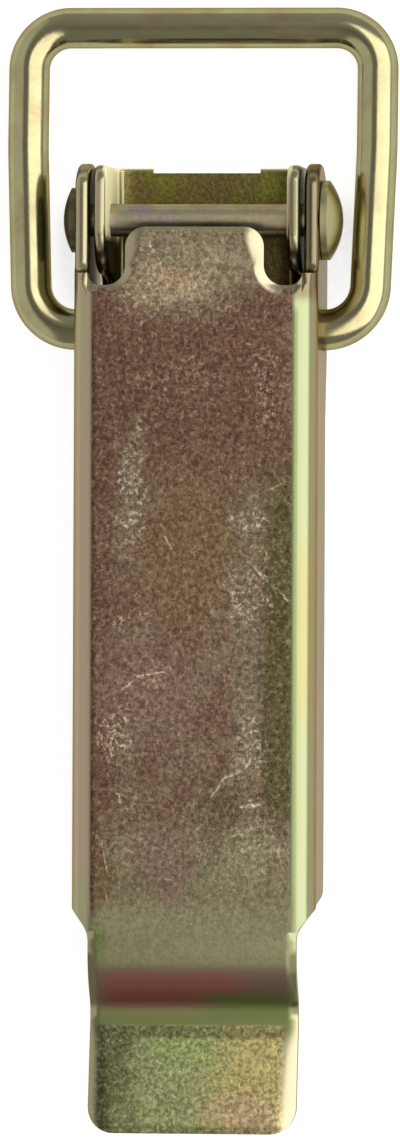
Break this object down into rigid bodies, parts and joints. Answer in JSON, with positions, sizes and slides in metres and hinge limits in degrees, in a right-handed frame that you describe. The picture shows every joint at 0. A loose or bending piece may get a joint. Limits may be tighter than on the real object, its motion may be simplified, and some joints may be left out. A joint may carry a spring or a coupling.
{
  "type": "over centre toggle latch",
  "caption": "Over centre toggle latch: pressed channel lever with a dipped finger tab, riveted base bracket and a bent wire bail.",
  "frame": {"origin": "on the mounting surface, straight below the middle of the pivot rivet", "axes": "+X across the latch, +Y towards the hooking bar of the bail, +Z away from the mounting surface"},
  "size_m": [0.0478, 0.1372, 0.0162],
  "materials": {
    "base_zinc": "pressed steel sheet, zinc plated and yellow passivated",
    "rivet_zinc": "steel rivet, zinc plated and yellow passivated",
    "lever_zinc": "pressed steel sheet, zinc plated and yellow passivated, worn",
    "wire_zinc": "round steel wire, zinc plated and yellow passivated"
  },
  "bodies": {
    "base": {"base_bracket": "base_zinc", "pivot_rivet": "rivet_zinc"},
    "lever": {"lever": "lever_zinc"},
    "bail": {"bail": "wire_zinc"}
  },
  "joints": [
    {"name": "lever_hinge", "type": "hinge", "parent": "base", "child": "lever", "pos_m": [0, 0, 0.0082], "axis": [-1, 0, 0], "range_deg": [0, 135]},
    {"name": "bail_hinge", "type": "hinge", "parent": "lever", "child": "bail", "pos_m": [0, -0.0133, 0.006], "axis": [1, 0, 0], "range_deg": [0, 160]}
  ]
}
